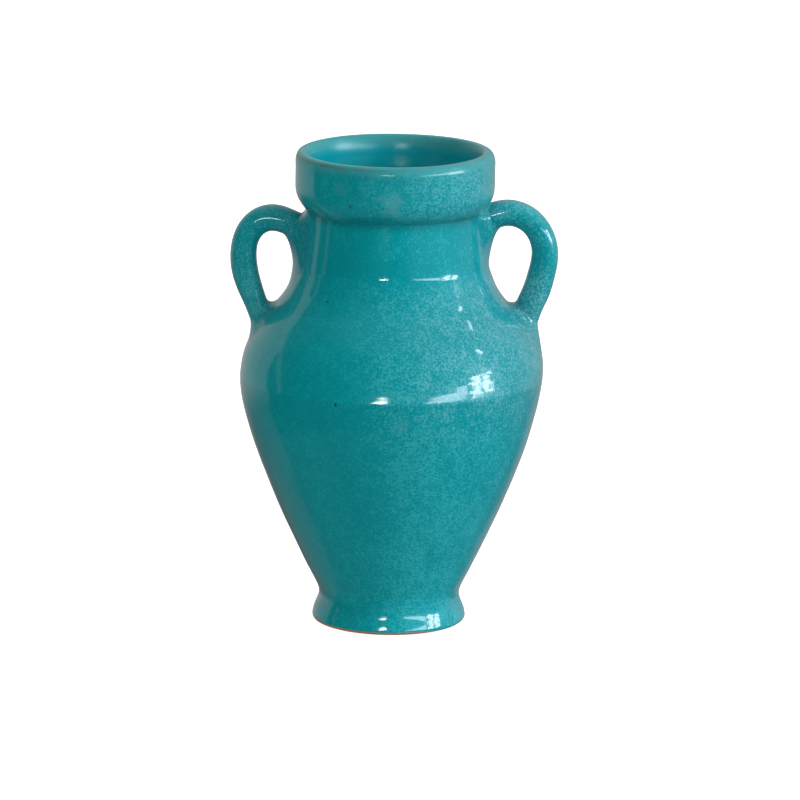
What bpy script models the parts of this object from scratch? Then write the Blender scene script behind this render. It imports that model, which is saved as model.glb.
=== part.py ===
"""Two-handled amphora vase in glazed earthenware, built from its separate clay pieces.

Frame: metres, +Z up.  The origin is on the vase's axis at the plane it stands on.
The two loop handles lie along -X and +X, and the plain front faces -Y.

The potter throws five rings and pulls two handles.  Each ring ends in a step, so the next
one seats on it and is held square while the slip dries, and the handles are luted to
the outside of the neck and the shoulder.
"""
import math

import bmesh
import bpy
from mathutils import Vector

MM = 0.001

# ---------------------------------------------------------------- driving dimensions, mm
HEIGHT = 300.0            # standing height
BELLY_R = 95.5            # widest radius, at the seam between lower body and shoulder
BELLY_Z = 157.0
WAIST_R = 44.7            # narrowest part, just above the foot
WAIST_Z = 15.8
FOOT_R = 48.8             # widest part of the flared foot
FOOT_WIDEST_Z = 2.6
NECK_BASE_R = 60.6        # ridge where the neck rises from the shoulder
NECK_BASE_Z = 231.0
NECK_TOP_R = 55.7         # crease under the collar
NECK_TOP_Z = 262.5
COLLAR_R = 62.9           # thick collar round the mouth
MOUTH_R = 54.1            # clear mouth inside the rolled lip
LIP_RISE = 4.7            # height of the rolled lip's half round
WALL = 8.0                # thrown wall, measured level
FLOOR_TOP_Z = 17.0        # inside floor
BASE_Z = 6.0              # underside of the floor, inside the foot ring
RECESS_R = 33.8           # hollow under the foot
BEARING_IN_R = 37.4       # flat ring that the vase stands on
BEARING_OUT_R = 47.0
SOCKET_R = 36.8           # socket in the foot ring that takes the body's base
SPAN = 205.4              # overall width across the two handles
HANDLE_T = 16.6           # handle thickness seen from the front
HANDLE_W = 19.0           # handle width, front to back
JOINT_GAP = 0.3           # slip layer between two luted pieces
TONGUE = 3.0              # height of the step that locates one ring on the next

SEGMENTS = 48             # facets round every thrown ring
HANDLE_SIDES = 20
HANDLE_RINGS = 30

# Outer surface of the thrown body, (height, radius), foot waist to crease under the collar.
OUTER = [
    (WAIST_Z, WAIST_R), (20.2, 45.4), (27.7, 48.9), (40.3, 55.1), (60.0, 64.4),
    (88.0, 76.5), (120.0, 88.1), (141.8, 93.8), (BELLY_Z, BELLY_R),
    (167.0, 94.7), (176.0, 92.2), (185.0, 88.0), (195.0, 80.8), (205.5, 71.4),
    (213.0, 66.1), (222.0, 62.3), (NECK_BASE_Z, NECK_BASE_R),
    (245.0, 57.4), (256.0, 55.9), (NECK_TOP_Z, NECK_TOP_R),
]
# Outer surface of the collar, from its underside to where the lip starts to roll over.
COLLAR = [
    (263.4, 56.4), (267.0, 58.8), (271.0, 61.2), (276.4, 62.6), (285.0, 62.7),
    (HEIGHT - LIP_RISE, COLLAR_R),
]
# Inside surface, floor corner to mouth.
INNER = [
    (26.0, 40.4), (40.0, 47.0), (60.0, 56.4), (88.0, 68.5), (120.0, 80.1),
    (145.0, 86.4), (BELLY_Z, BELLY_R - WALL), (167.0, 86.6), (176.0, 83.6),
    (185.0, 78.6), (195.0, 70.9), (205.5, 62.6), (213.0, 57.8), (222.0, 53.9),
    (NECK_BASE_Z, NECK_BASE_R - WALL - 0.4), (245.0, 49.3), (256.0, NECK_TOP_R - WALL),
    (266.0, 48.6), (275.0, 51.0), (285.0, 53.3), (HEIGHT - LIP_RISE, MOUTH_R),
]

# Centre lines of the handles, (distance from the axis, height), neck end to shoulder end.
# The right one was set a little higher on the neck than the left one.
HANDLE_LEFT_PATH = [
    (44.0, 247.2), (54.0, 250.4), (62.0, 253.1), (69.5, 255.8), (76.3, 256.5), (83.5, 254.2),
    (89.3, 248.8), (92.7, 241.5), (93.8, 233.5), (93.4, 226.0), (91.7, 218.3), (89.1, 210.7),
    (86.1, 203.0), (82.6, 195.0), (78.0, 186.5), (71.5, 177.5), (64.0, 169.0),
]
HANDLE_RIGHT_PATH = [
    (44.0, 252.8), (53.0, 256.3), (60.0, 258.8), (67.0, 261.1), (73.8, 262.0), (81.5, 260.2),
    (87.8, 255.6), (92.2, 248.8), (94.5, 241.5), (94.9, 235.0), (94.2, 227.7), (92.5, 220.0),
    (90.0, 212.3), (87.0, 204.6), (83.4, 196.5), (79.0, 187.8), (72.5, 178.0), (64.0, 169.0),
]
# Swelling of the handle where it is pressed on, as a factor at (0 = neck end .. 1 = shoulder end)
FLARE = [(0.0, 1.75), (0.10, 1.38), (0.20, 1.08), (0.30, 1.0), (0.60, 1.0), (0.72, 1.04),
         (0.80, 1.18), (0.90, 1.45), (1.0, 1.6)]

GLAZE = (0.006, 0.235, 0.262, 1.0)          # deep turquoise, linear RGB


# ---------------------------------------------------------------- curves
def smooth_through(stations):
    """Monotone cubic through (x, y) stations: no bulge between two stations."""
    xs = [p[0] for p in stations]
    ys = [p[1] for p in stations]
    n = len(xs)
    h = [xs[i + 1] - xs[i] for i in range(n - 1)]
    d = [(ys[i + 1] - ys[i]) / h[i] for i in range(n - 1)]
    m = [0.0] * n
    m[0], m[-1] = d[0], d[-1]
    for i in range(1, n - 1):
        if d[i - 1] * d[i] > 0.0:
            w1, w2 = 2.0 * h[i] + h[i - 1], h[i] + 2.0 * h[i - 1]
            m[i] = (w1 + w2) / (w1 / d[i - 1] + w2 / d[i])

    def value(x):
        x = min(max(x, xs[0]), xs[-1])
        i = 0
        while i < n - 2 and x > xs[i + 1]:
            i += 1
        t = (x - xs[i]) / h[i]
        return ((2 * t ** 3 - 3 * t ** 2 + 1) * ys[i] + (t ** 3 - 2 * t ** 2 + t) * h[i] * m[i]
                + (-2 * t ** 3 + 3 * t ** 2) * ys[i + 1] + (t ** 3 - t ** 2) * h[i] * m[i + 1])

    return value


outer_r = smooth_through(OUTER)
collar_r = smooth_through(COLLAR)
inner_r = smooth_through(INNER)


def side(radius_of, z_from, z_to, step):
    """Points (radius, height) along a side, both ends included, about `step` mm apart."""
    count = max(1, round(abs(z_to - z_from) / step))
    return [(radius_of(z_from + (z_to - z_from) * i / count), z_from + (z_to - z_from) * i / count)
            for i in range(count + 1)]


def path_points(control, count):
    """Evenly spaced points on a Catmull-Rom curve through `control`."""
    pts = [Vector(p) for p in control]
    pts = [2 * pts[0] - pts[1]] + pts + [2 * pts[-1] - pts[-2]]
    fine = []
    for i in range(1, len(pts) - 2):
        p0, p1, p2, p3 = pts[i - 1:i + 3]
        for k in range(24):
            t = k / 24.0
            fine.append(0.5 * ((2 * p1) + (p2 - p0) * t + (2 * p0 - 5 * p1 + 4 * p2 - p3) * t ** 2
                               + (3 * p1 - p0 - 3 * p2 + p3) * t ** 3))
    fine.append(pts[-2])
    dist = [0.0]
    for a, b in zip(fine, fine[1:]):
        dist.append(dist[-1] + (b - a).length)
    out, j = [], 0
    for k in range(count):
        want = dist[-1] * k / (count - 1)
        while j < len(fine) - 2 and dist[j + 1] < want:
            j += 1
        f = (want - dist[j]) / (dist[j + 1] - dist[j])
        out.append(fine[j].lerp(fine[j + 1], f))
    return out


# ---------------------------------------------------------------- Blender helpers
def clear_scene():
    for ob in list(bpy.data.objects):
        bpy.data.objects.remove(ob, do_unlink=True)
    for me in list(bpy.data.meshes):
        bpy.data.meshes.remove(me)


def glaze_material(name, color=GLAZE, roughness=0.12):
    mat = bpy.data.materials.new(name)
    mat.use_nodes = True
    shader = mat.node_tree.nodes["Principled BSDF"]
    shader.inputs["Base Color"].default_value = color
    shader.inputs["Roughness"].default_value = roughness
    shader.inputs["Metallic"].default_value = 0.0
    shader.inputs["Coat Weight"].default_value = 0.6
    shader.inputs["Coat Roughness"].default_value = 0.04
    mat.diffuse_color = color
    return mat


def add_object(name, mesh, parent=None):
    ob = bpy.data.objects.new(name, mesh)
    bpy.context.scene.collection.objects.link(ob)
    ob.parent = parent
    return ob


def thrown(name, profile, closed, parent=None):
    """Turn a profile of (radius, height) points about Z with a Screw modifier.

    The profile runs down its outer side.  A closed profile makes a ring; an open one
    starts and ends on the axis and makes a solid or a bowl.
    """
    mesh = bpy.data.meshes.new(name)
    verts = [(r * MM, 0.0, z * MM) for r, z in profile]
    edges = [(i, i + 1) for i in range(len(verts) - 1)]
    if closed:
        edges.append((len(verts) - 1, 0))
    mesh.from_pydata(verts, edges, [])
    ob = add_object(name, mesh, parent)
    turn = ob.modifiers.new("Turn on the wheel", "SCREW")
    turn.axis = "Z"
    turn.angle = 2.0 * math.pi
    turn.screw_offset = 0.0
    turn.steps = SEGMENTS
    turn.render_steps = SEGMENTS
    turn.use_merge_vertices = True
    turn.merge_threshold = 0.00005
    turn.use_smooth_shade = True
    return ob


def pulled_handle(name, control, sign, parent=None):
    """Sweep an oval along the handle's centre line; `sign` is -1 for -X and +1 for +X."""
    flare = smooth_through(FLARE)
    centres = path_points(control, HANDLE_RINGS)
    mesh = bpy.data.meshes.new(name)
    bm = bmesh.new()
    rings = []
    for k, c in enumerate(centres):
        ahead = centres[min(k + 1, HANDLE_RINGS - 1)] - centres[max(k - 1, 0)]
        ahead.normalize()
        across = Vector((-ahead.y, ahead.x))                # in the plane of the loop
        f = flare(k / (HANDLE_RINGS - 1))
        a, b = 0.5 * HANDLE_T * f, 0.5 * HANDLE_W * f
        ring = []
        for s in range(HANDLE_SIDES):
            ang = 2.0 * math.pi * s / HANDLE_SIDES
            x = c.x + across.x * a * math.cos(ang)
            z = c.y + across.y * a * math.cos(ang)
            y = b * math.sin(ang)
            ring.append(bm.verts.new((sign * x * MM, y * MM, z * MM)))
        rings.append(ring)
    for r0, r1 in zip(rings, rings[1:]):
        for s in range(HANDLE_SIDES):
            t = (s + 1) % HANDLE_SIDES
            bm.faces.new((r0[s], r0[t], r1[t], r1[s]))
    bm.faces.new(rings[0])
    bm.faces.new(list(reversed(rings[-1])))
    bmesh.ops.recalc_face_normals(bm, faces=bm.faces)
    bm.to_mesh(mesh)
    bm.free()
    ob = add_object(name, mesh, parent)
    return ob


def cut_by(ob, cutter):
    cut = ob.modifiers.new("Fitted to the wall", "BOOLEAN")
    cut.operation = "DIFFERENCE"
    cut.solver = "EXACT"
    cut.object = cutter


# ---------------------------------------------------------------- profiles of the pieces
def step_up(seam_z):
    """Top of a lower ring at a seam, from its outer edge to its inner one: ledge, then tongue."""
    g = 0.5 * JOINT_GAP
    mid = 0.5 * (outer_r(seam_z) + inner_r(seam_z))
    top = seam_z + TONGUE - g
    return [(outer_r(seam_z - g), seam_z - g), (mid - g, seam_z - g), (mid - g, top),
            (inner_r(top), top)]


def step_down(seam_z):
    """Underside of the upper ring at the same seam, from its inner edge to its outer one."""
    g = 0.5 * JOINT_GAP
    mid = 0.5 * (outer_r(seam_z) + inner_r(seam_z))
    low = seam_z + TONGUE + g
    return [(inner_r(low), low), (mid + g, low), (mid + g, seam_z + g),
            (outer_r(seam_z + g), seam_z + g)]


def foot_ring_profile():
    """Flared foot: outside from the waist down, standing ring, recess, socket for the body."""
    flare = smooth_through([(FOOT_WIDEST_Z, FOOT_R), (5.0, 48.5), (9.5, 46.8), (13.2, 45.1),
                            (WAIST_Z - 0.25, WAIST_R)])
    pts = side(flare, WAIST_Z - 0.25, FOOT_WIDEST_Z, 2.2)
    pts += [(FOOT_R - 0.35, 0.8), (FOOT_R - 1.0, 0.2)]
    pts += [(BEARING_OUT_R, 0.0), (BEARING_IN_R, 0.0)]
    pts += [(BEARING_IN_R - 1.9, 0.7), (BEARING_IN_R - 3.1, 2.4), (RECESS_R, BASE_Z - JOINT_GAP)]
    pts += [(SOCKET_R, BASE_Z - JOINT_GAP), (SOCKET_R, 11.9)]
    return pts


def lower_body_profile():
    """Bowl with its floor: open profile from the axis inside to the axis underneath."""
    g = 0.5 * JOINT_GAP
    top = BELLY_Z + TONGUE - g
    pts = [(0.0, FLOOR_TOP_Z), (14.0, FLOOR_TOP_Z), (26.0, FLOOR_TOP_Z + 0.5),
           (33.0, FLOOR_TOP_Z + 2.2), (37.6, FLOOR_TOP_Z + 5.2)]
    pts += side(inner_r, 26.0, top, 15.0)[:-1]
    pts += list(reversed(step_up(BELLY_Z)))
    pts += side(outer_r, BELLY_Z - g, 21.0, 11.5)[1:]
    pts += [(outer_r(18.2), 18.2), (WAIST_R, WAIST_Z + 0.14)]
    # the seat on the foot ring's top, 0.3 mm above it, and the base in its socket
    pts += [(SOCKET_R - JOINT_GAP, 12.1), (SOCKET_R - JOINT_GAP, BASE_Z), (0.0, BASE_Z)]
    return pts


def shoulder_profile():
    g = 0.5 * JOINT_GAP
    top = NECK_BASE_Z + TONGUE - g
    pts = step_up(NECK_BASE_Z)
    outer = side(outer_r, NECK_BASE_Z - g, BELLY_Z + g, 6.7)
    inner = side(inner_r, BELLY_Z + TONGUE + g, top, 8.0)
    return outer[:-1] + list(reversed(step_down(BELLY_Z))) + inner[1:-1] + list(reversed(pts))[:-1]


def neck_profile():
    """The neck's top carries its tongue inside the collar."""
    g = 0.5 * JOINT_GAP
    top = NECK_TOP_Z + 2.0 * TONGUE - g
    mid = 0.5 * (outer_r(NECK_TOP_Z) + inner_r(NECK_TOP_Z))
    outer = side(outer_r, NECK_TOP_Z - g, NECK_BASE_Z + g, 6.0)
    inner = side(inner_r, NECK_BASE_Z + TONGUE + g, top, 8.0)
    return outer[:-1] + list(reversed(step_down(NECK_BASE_Z))) + inner[1:] + [
        (mid - g, top), (mid - g, NECK_TOP_Z - g)]


def collar_profile():
    g = 0.5 * JOINT_GAP
    low = NECK_TOP_Z + 2.0 * TONGUE + g
    mid = 0.5 * (outer_r(NECK_TOP_Z) + inner_r(NECK_TOP_Z))
    centre = 0.5 * (COLLAR_R + MOUTH_R)
    half = 0.5 * (COLLAR_R - MOUTH_R)
    base = HEIGHT - LIP_RISE
    # a rolled lip a little fuller than a half round
    lip = [(centre + half * math.copysign(abs(math.cos(a)) ** 0.82, math.cos(a)),
            base + LIP_RISE * math.sin(a)) for a in [math.pi * i / 8.0 for i in range(1, 8)]]
    outer = [(collar_r(z), z) for z in (base, 285.0, 276.4, 271.0, 267.0, 263.4)]
    inner = side(inner_r, low, base, 6.6)
    return list(reversed(lip)) + outer + [(NECK_TOP_R, NECK_TOP_Z + g), (mid + g, NECK_TOP_Z + g),
                                          (mid + g, low)] + inner


def wall_envelope_profile():
    """Outside of the vase, one joint gap proud, that the handles' ends are fitted to."""
    base = HEIGHT - LIP_RISE
    pts = [(collar_r(z), z) for z in (base, 285.0, 276.4, 271.0, 267.0, 263.4)]
    pts += side(outer_r, NECK_TOP_Z - 0.15, NECK_BASE_Z + 0.15, 6.0)
    pts += side(outer_r, NECK_BASE_Z - 0.15, BELLY_Z + 0.15, 6.7)
    proud = []
    for i, p in enumerate(pts):
        a = Vector(pts[max(i - 1, 0)])
        b = Vector(pts[min(i + 1, len(pts) - 1)])
        along = (b - a).normalized()
        outward = Vector((-along.y, along.x))
        if outward.x < 0.0:
            outward = -outward
        proud.append((p[0] + outward.x * JOINT_GAP * 1.05, p[1] + outward.y * JOINT_GAP * 1.05))
    return [(0.0, proud[0][1])] + proud + [(0.0, proud[-1][1])]


# ---------------------------------------------------------------- model
def build():
    clear_scene()
    vase = bpy.data.objects.new("amphora", None)
    bpy.context.scene.collection.objects.link(vase)

    pieces = [
        thrown("foot_ring", foot_ring_profile(), True, vase),
        thrown("lower_body", lower_body_profile(), False, vase),
        thrown("shoulder", shoulder_profile(), True, vase),
        thrown("neck", neck_profile(), True, vase),
        thrown("rim_collar", collar_profile(), True, vase),
    ]

    envelope = thrown("wall_envelope", wall_envelope_profile(), False, vase)
    envelope.hide_render = True
    envelope.display_type = "WIRE"

    for name, control, sign in (("handle_left", HANDLE_LEFT_PATH, -1.0),
                                ("handle_right", HANDLE_RIGHT_PATH, 1.0)):
        handle = pulled_handle(name, control, sign, vase)
        cut_by(handle, envelope)
        handle.data.shade_smooth()
        handle.data.set_sharp_from_angle(angle=math.radians(50.0))
        pieces.append(handle)

    for piece in pieces:
        piece.data.materials.append(glaze_material("glaze_" + piece.name))


build()
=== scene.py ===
"""Looks of the two-handled turquoise amphora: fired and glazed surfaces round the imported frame."""
import math

import bpy
import numpy as np
from mathutils import Matrix, Vector


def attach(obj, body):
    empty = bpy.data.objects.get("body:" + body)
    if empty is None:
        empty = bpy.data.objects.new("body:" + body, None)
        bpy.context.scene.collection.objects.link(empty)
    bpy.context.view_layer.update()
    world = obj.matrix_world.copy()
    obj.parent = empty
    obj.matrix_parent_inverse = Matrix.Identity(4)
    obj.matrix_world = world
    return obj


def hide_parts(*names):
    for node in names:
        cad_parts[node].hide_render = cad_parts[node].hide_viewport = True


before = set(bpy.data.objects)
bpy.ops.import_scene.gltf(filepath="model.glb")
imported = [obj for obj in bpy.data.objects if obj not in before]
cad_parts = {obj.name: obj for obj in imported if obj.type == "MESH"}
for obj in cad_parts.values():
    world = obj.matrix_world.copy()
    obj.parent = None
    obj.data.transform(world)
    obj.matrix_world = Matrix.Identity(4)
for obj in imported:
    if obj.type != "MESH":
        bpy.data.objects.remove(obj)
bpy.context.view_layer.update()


MM = 0.001
COLS = 256                       # points round every thrown ring
rng = np.random.default_rng(7)


# ------------------------------------------------------------------ camera first
PX = 0.300 / 476.0               # metres per picture unit at the vase's axis
CAM_DIST = 5200 * PX
PITCH = math.radians(12.4)
ROLL = math.radians(0.87)

cam_data = bpy.data.cameras.new("camera")
camera = bpy.data.objects.new("camera", cam_data)
bpy.context.scene.collection.objects.link(camera)
cam_data.sensor_width = 36.0
cam_data.lens = 36.0 * 5200 / 800
cam_data.clip_start = 0.05
cam_data.clip_end = 50.0
cam_data.dof.use_dof = False
forward = Vector((0.0, math.cos(PITCH), -math.sin(PITCH)))
right = Vector((1.0, 0.0, 0.0))
up = right.cross(forward)
r_axis = right * math.cos(ROLL) + up * math.sin(ROLL)
u_axis = up * math.cos(ROLL) - right * math.sin(ROLL)
place = Matrix.Identity(4)
for i in range(3):
    place[i][0], place[i][1], place[i][2] = r_axis[i], u_axis[i], -forward[i]
place[0][3] = 9.1 * PX
place[1][3] = -CAM_DIST * math.cos(PITCH)
place[2][3] = 223.2 * PX + CAM_DIST * math.sin(PITCH)
camera.matrix_world = place
bpy.context.scene.camera = camera


# ------------------------------------------------------------------ curves
def pchip(xs, ys, x):
    xs, ys, x = np.asarray(xs, float), np.asarray(ys, float), np.asarray(x, float)
    h, d = np.diff(xs), np.diff(ys) / np.diff(xs)
    m = np.zeros(len(xs))
    m[0], m[-1] = d[0], d[-1]
    for k in range(1, len(xs) - 1):
        if d[k - 1] * d[k] > 0:
            w1, w2 = 2 * h[k] + h[k - 1], h[k] + 2 * h[k - 1]
            m[k] = (w1 + w2) / (w1 / d[k - 1] + w2 / d[k])
    x = np.clip(x, xs[0], xs[-1])
    k = np.clip(np.searchsorted(xs, x, side="right") - 1, 0, len(xs) - 2)
    t = (x - xs[k]) / h[k]
    return ((2 * t**3 - 3 * t**2 + 1) * ys[k] + (t**3 - 2 * t**2 + t) * h[k] * m[k]
            + (-2 * t**3 + 3 * t**2) * ys[k + 1] + (t**3 - t**2) * h[k] * m[k + 1])


def smoothed(values, step, sigma):
    """Gaussian smoothing that keeps the ends and the slopes there."""
    n = max(1, int(round(4 * sigma / step)))
    kernel = np.exp(-0.5 * (np.arange(-n, n + 1) * step / sigma) ** 2)
    kernel /= kernel.sum()
    head = 2 * values[0] - values[n:0:-1]
    tail = 2 * values[-1] - values[-2:-n - 2:-1]
    return np.convolve(np.concatenate([head, values, tail]), kernel, "valid")


def natural_spline(t, y):
    """C2 cubic through the nodes; returns a function giving value and slope."""
    t, y = np.asarray(t, float), np.asarray(y, float)
    n = len(t)
    h = np.diff(t)
    a = np.zeros((n, n))
    b = np.zeros(n)
    a[0, 0] = a[-1, -1] = 1.0
    for k in range(1, n - 1):
        a[k, k - 1], a[k, k], a[k, k + 1] = h[k - 1], 2 * (h[k - 1] + h[k]), h[k]
        b[k] = 6 * ((y[k + 1] - y[k]) / h[k] - (y[k] - y[k - 1]) / h[k - 1])
    m = np.linalg.solve(a, b)

    def value(x):
        k = np.clip(np.searchsorted(t, x, side="right") - 1, 0, n - 2)
        u, w = t[k + 1] - x, x - t[k]
        v = (m[k] * u**3 + m[k + 1] * w**3) / (6 * h[k]) \
            + (y[k] / h[k] - m[k] * h[k] / 6) * u + (y[k + 1] / h[k] - m[k + 1] * h[k] / 6) * w
        s = (-m[k] * u**2 + m[k + 1] * w**2) / (2 * h[k]) \
            - (y[k] / h[k] - m[k] * h[k] / 6) + (y[k + 1] / h[k] - m[k + 1] * h[k] / 6)
        return v, s

    return value


def smoothstep(x, a, b):
    t = np.clip((np.asarray(x, float) - a) / (b - a), 0.0, 1.0)
    return t * t * (3 - 2 * t)


# ------------------------------------------------------------------ the thrown form, mm
BELLY_Z, NECK_Z, CREASE_Z, TOP = 157.0, 231.0, 262.8, 300.0
SEAM_Z = 159.0                   # the ridge that shows on the glaze, just above the joint
STEP = 0.1
ZG = np.arange(0.0, TOP + STEP / 2, STEP)

LOWER = [(2.4, 48.5), (5.0, 48.15), (6.9, 47.5), (9.5, 46.4), (12.0, 45.2), (13.9, 44.5),
         (15.8, 44.15), (17.6, 44.2), (20.2, 44.8), (23.3, 46.15), (27.7, 48.4), (32.8, 51.05),
         (40.3, 54.75), (49.2, 59.0), (59.9, 64.1), (72.5, 69.8), (88.2, 76.35), (104.0, 82.35),
         (119.7, 87.7), (132.4, 91.25), (141.8, 93.45), (148.1, 94.5), (153.0, 95.05), (BELLY_Z, 95.3)]
UPPER = [(BELLY_Z, 95.3), (161.0, 95.2), (167.0, 94.6), (173.0, 93.2), (179.0, 90.8), (185.0, 87.6),
         (190.0, 84.1), (195.0, 80.1), (200.0, 75.6), (205.5, 70.6), (209.2, 67.9), (214.3, 64.9),
         (220.6, 62.4), (223.0, 61.75), (226.0, 60.95), (228.7, 60.32), (NECK_Z, 60.00)]
NECK = [(NECK_Z, 60.00), (234.0, 59.6), (238.0, 59.1), (244.0, 58.35), (250.0, 57.55), (256.0, 56.75), (CREASE_Z, 55.85)]
COLLAR = [(CREASE_Z, 55.85), (263.6, 56.4), (266.4, 58.5), (268.9, 60.1), (272.0, 61.5),
          (276.4, 62.4), (281.0, 62.5), (288.0, 62.5), (TOP, 62.8)]


def zone(stations, sigma):
    zs = [s[0] for s in stations]
    grid = np.arange(zs[0], zs[-1] + STEP / 2, STEP)
    return grid, smoothed(pchip(zs, [s[1] for s in stations], grid), STEP, sigma)


parts_z, parts_r = [], []
for stations, sigma in ((LOWER, 2.2), (UPPER, 2.4), (NECK, 1.2), (COLLAR, 0.9)):
    g, v = zone(stations, sigma)
    parts_z.append(g[:-1] if stations is not COLLAR else g)
    parts_r.append(v[:-1] if stations is not COLLAR else v)
_z, _r = np.concatenate(parts_z), np.concatenate(parts_r)
RG = np.interp(ZG, _z, _r)

# the slope breaks sharply where the neck was set on the shoulder
RG = RG + smoothed(pchip([0.0, 206.0, 214.0, 219.0, 221.0, 223.5, 226.0, 228.2, 229.0, 240.0, 262.8, 268.0, 300.0],
                         [0.0, 0.0, 0.12, 0.25, 0.19, 0.0, -0.27, -0.55, -0.56, -0.36, -0.05, 0.0, 0.0], ZG), STEP, 0.25)
RG = smoothed(RG, STEP, 0.35)
RG_SOFT = smoothed(RG, STEP, 4.0)

# how far the pot leans to +X at each height: (right radius - left radius) / 2
LEAN = pchip([0, 20, 35, 60, 90, 104, 120, 132, 142, 148, 154, 160, 167, 176, 186, 200, 215, 231, 252, 262, 268, 300],
             [0.5, 0.5, 0.25, 0.1, 0.1, 0.0, -0.25, -0.42, -0.45, -0.38, -0.15, 0.25, 0.75, 1.1, 1.1, 0.5, 0.1, -0.1, 0.1, 0.4, 0.66, 0.66], ZG)
LEAN = smoothed(LEAN, STEP, 4.0)

# the crease left where the shoulder was set on the lower body; it fades out towards the handles
CREASE = np.where(ZG < SEAM_Z, 0.60 * np.exp((np.minimum(ZG, SEAM_Z) - SEAM_Z) / 5.0),
                  pchip([SEAM_Z, 161.0, 163.0, 165.0, 167.0, 170.0, 173.0, 180.0, 190.0, 202.0, 300.0],
                        [0.60, 0.30, 0.0, -0.27, -0.53, -0.82, -1.00, -1.02, -0.60, 0.0, 0.0], ZG))
CREASE = smoothed(CREASE, STEP, 0.22)
# the front of the foot was turned less deeply than its sides
FOOT_FRONT = smoothed(pchip([0, 2.4, 4.3, 6.0, 7.5, 9.0, 12.0, 13.5, 15.0, 17.0, 20.0, 23.3, 27.7, 35.0, 50.0, 80.0, 300.0],
                            [0.8, 0.8, 0.75, 0.78, 0.90, 1.10, 1.75, 2.05, 2.28, 2.42, 2.2, 1.75, 1.3, 0.8, 0.0, 0.0, 0.0], ZG), STEP, 0.5)

# slow waves that the hand leaves in a thrown wall: periodic round the pot, so they close
WAVES = []
for amp, n_lo, n_hi, l_lo, l_hi, count in ((0.08, 2, 4, 90, 260, 5), (0.020, 4, 9, 28, 70, 14),
                                           (0.0035, 10, 22, 12, 30, 26)):
    for _ in range(count):
        WAVES.append((amp * rng.uniform(0.5, 1.2), int(rng.integers(n_lo, n_hi + 1)),
                      2 * math.pi / rng.uniform(l_lo, l_hi) * rng.choice([-1, 1]), rng.uniform(0, 2 * math.pi)))
# throwing rings: nearly level ridges, a little uneven round the pot
RINGS = [(0.0022 * rng.uniform(0.4, 1.3), int(rng.integers(0, 2)), 2 * math.pi / rng.uniform(4.5, 11.0),
          rng.uniform(0, 2 * math.pi)) for _ in range(9)]


def hand(theta, z):
    out = np.zeros(np.broadcast(theta, z).shape)
    for a, n, m, p in WAVES + RINGS:
        out = out + a * np.cos(n * theta + m * z + p)
    return out


def wall(theta, z, soft=False):
    """Outer radius of the pot in mm at angle theta and height z in mm."""
    z = np.asarray(z, float)
    base = np.interp(z, ZG, RG_SOFT if soft else RG) + np.interp(z, ZG, LEAN) * np.cos(theta)
    front = smoothstep(-np.sin(theta), 0.25, 0.95)
    base = base + np.interp(z, ZG, FOOT_FRONT) * front
    base = base + np.interp(z + 1.0, ZG, CREASE) * smoothstep(np.abs(np.sin(theta)), 0.30, 0.75)
    fade = smoothstep(z, 1.0, 8.0) * (1 - smoothstep(z, 292.0, 299.0)) if not soft else 1.0
    return base + hand(theta, z) * fade


# ------------------------------------------------------------------ rows of the whole skin
LIP_OUT, LIP_IN, LIP_BASE, LIP_IN_BASE = 62.8, 52.9, 293.0, 288.0
INNER = [(26.0, 40.4), (40.0, 47.0), (60.0, 56.4), (88.0, 68.5), (120.0, 80.1), (145.0, 86.4),
         (157.0, 87.5), (167.0, 86.6), (176.0, 83.6), (185.0, 78.6), (195.0, 70.9), (205.5, 62.6),
         (213.0, 57.8), (222.0, 53.9), (231.0, 52.2), (245.0, 49.3), (256.0, 48.0), (266.0, 49.3),
         (275.0, 51.4), (282.0, 52.35), (LIP_IN_BASE, LIP_IN)]
_ig = np.arange(26.0, LIP_IN_BASE + 0.01, STEP)
_ir = smoothed(pchip([s[0] for s in INNER], [s[1] for s in INNER], _ig), STEP, 2.5)


def inside(z):
    return np.interp(z, _ig, _ir)


def seq(a, b, step):
    n = max(1, int(round(abs(b - a) / step)))
    return a + (b - a) * np.arange(n + 1) / n


TH = 2 * np.pi * np.arange(COLS) / COLS
rows, row_kind = [], []          # each row: (COLS, 3) in mm


def add_row(r, z, kind):
    r = np.broadcast_to(np.asarray(r, float), TH.shape)
    z = np.broadcast_to(np.asarray(z, float), TH.shape)
    rows.append(np.stack([r * np.cos(TH), r * np.sin(TH), z], 1))
    row_kind.append(kind)


MARK = {}
SEAT = 5.9
# underside of the floor, with turning rings
for r in seq(0.0, 33.7, 1.3):
    add_row(r + 1e-4, 6.5 - 0.6 * (r / 33.7) ** 2 + 0.10 * math.cos(r * 2.1) * (r / 33.7), "bare")
MARK["under_end"] = len(rows) - 1
for r, z in ((33.75, 5.0), (33.9, 4.0), (34.1, 3.0), (34.5, 2.1), (35.1, 1.3), (35.9, 0.7), (36.8, 0.28), (37.8, 0.05)):
    add_row(r, z, "bare")
for r in seq(38.6, 46.2, 1.1):
    add_row(r, 0.0, "bare")
for a in np.radians([8, 18, 28, 38, 48, 58, 68, 78]):
    top = wall(TH, 2.4)
    add_row(46.7 + (top - 46.7) * math.sin(a), 2.4 * (1 - math.cos(a)), "skin")
z_marks = list(seq(2.4, 15.8, 0.55))
for z in z_marks:
    add_row(wall(TH, z), z, "skin")
MARK["waist"] = len(rows) - 1
for z in seq(15.8, 26.0, 0.6)[1:]:
    add_row(wall(TH, z), z, "skin")
for z in seq(26.0, 150.0, 1.05)[1:]:
    add_row(wall(TH, z), z, "skin")
for z in seq(150.0, BELLY_Z, 0.5)[1:]:
    add_row(wall(TH, z), z, "skin")
MARK["belly"] = len(rows) - 1
for z in seq(BELLY_Z, 167.0, 0.5)[1:]:
    add_row(wall(TH, z), z, "skin")
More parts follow.
